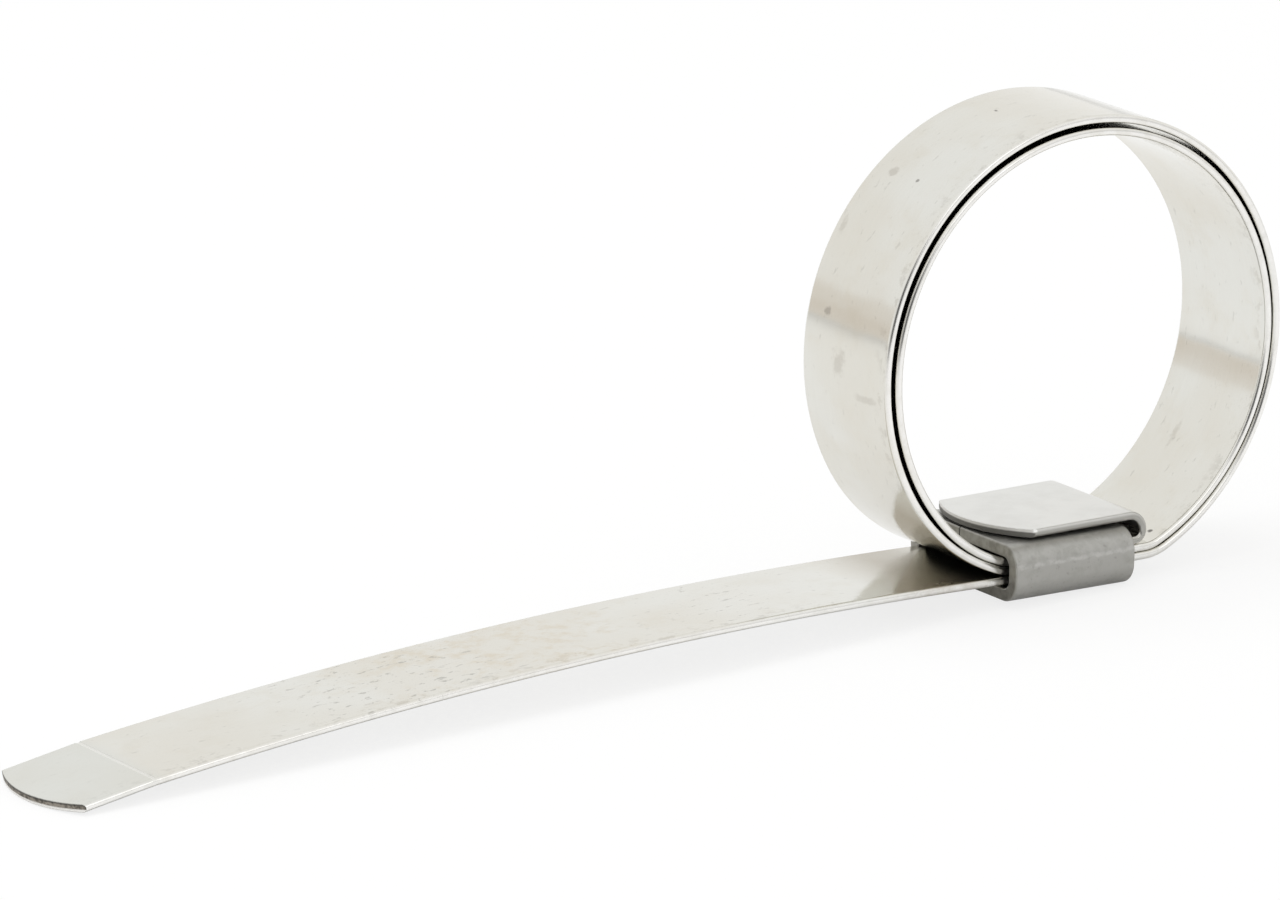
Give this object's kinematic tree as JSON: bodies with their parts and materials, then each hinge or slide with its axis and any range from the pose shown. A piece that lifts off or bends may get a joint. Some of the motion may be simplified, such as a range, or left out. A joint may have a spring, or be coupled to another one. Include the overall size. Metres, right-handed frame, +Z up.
{
  "type": "preformed band hose clamp",
  "caption": "Steel strip wound into a double ring through a folded buckle, with a short turned-back tongue and a long pull tail; it is drawn tight round a hose or pipe.",
  "frame": {"origin": "On the axis of the hose seat, at the ring's centre and at the middle of the band's width.", "axes": "+Y runs along the hose, +Z is up with the buckle at the bottom of the ring, and the pull tail leaves the buckle towards -X."},
  "size_m": [0.1263, 0.0162, 0.0429],
  "materials": {
    "band_steel": "bright rolled",
    "buckle_steel": "dull rolled"
  },
  "bodies": {
    "root": {"band": "band_steel", "buckle": "buckle_steel"}
  },
  "joints": []
}
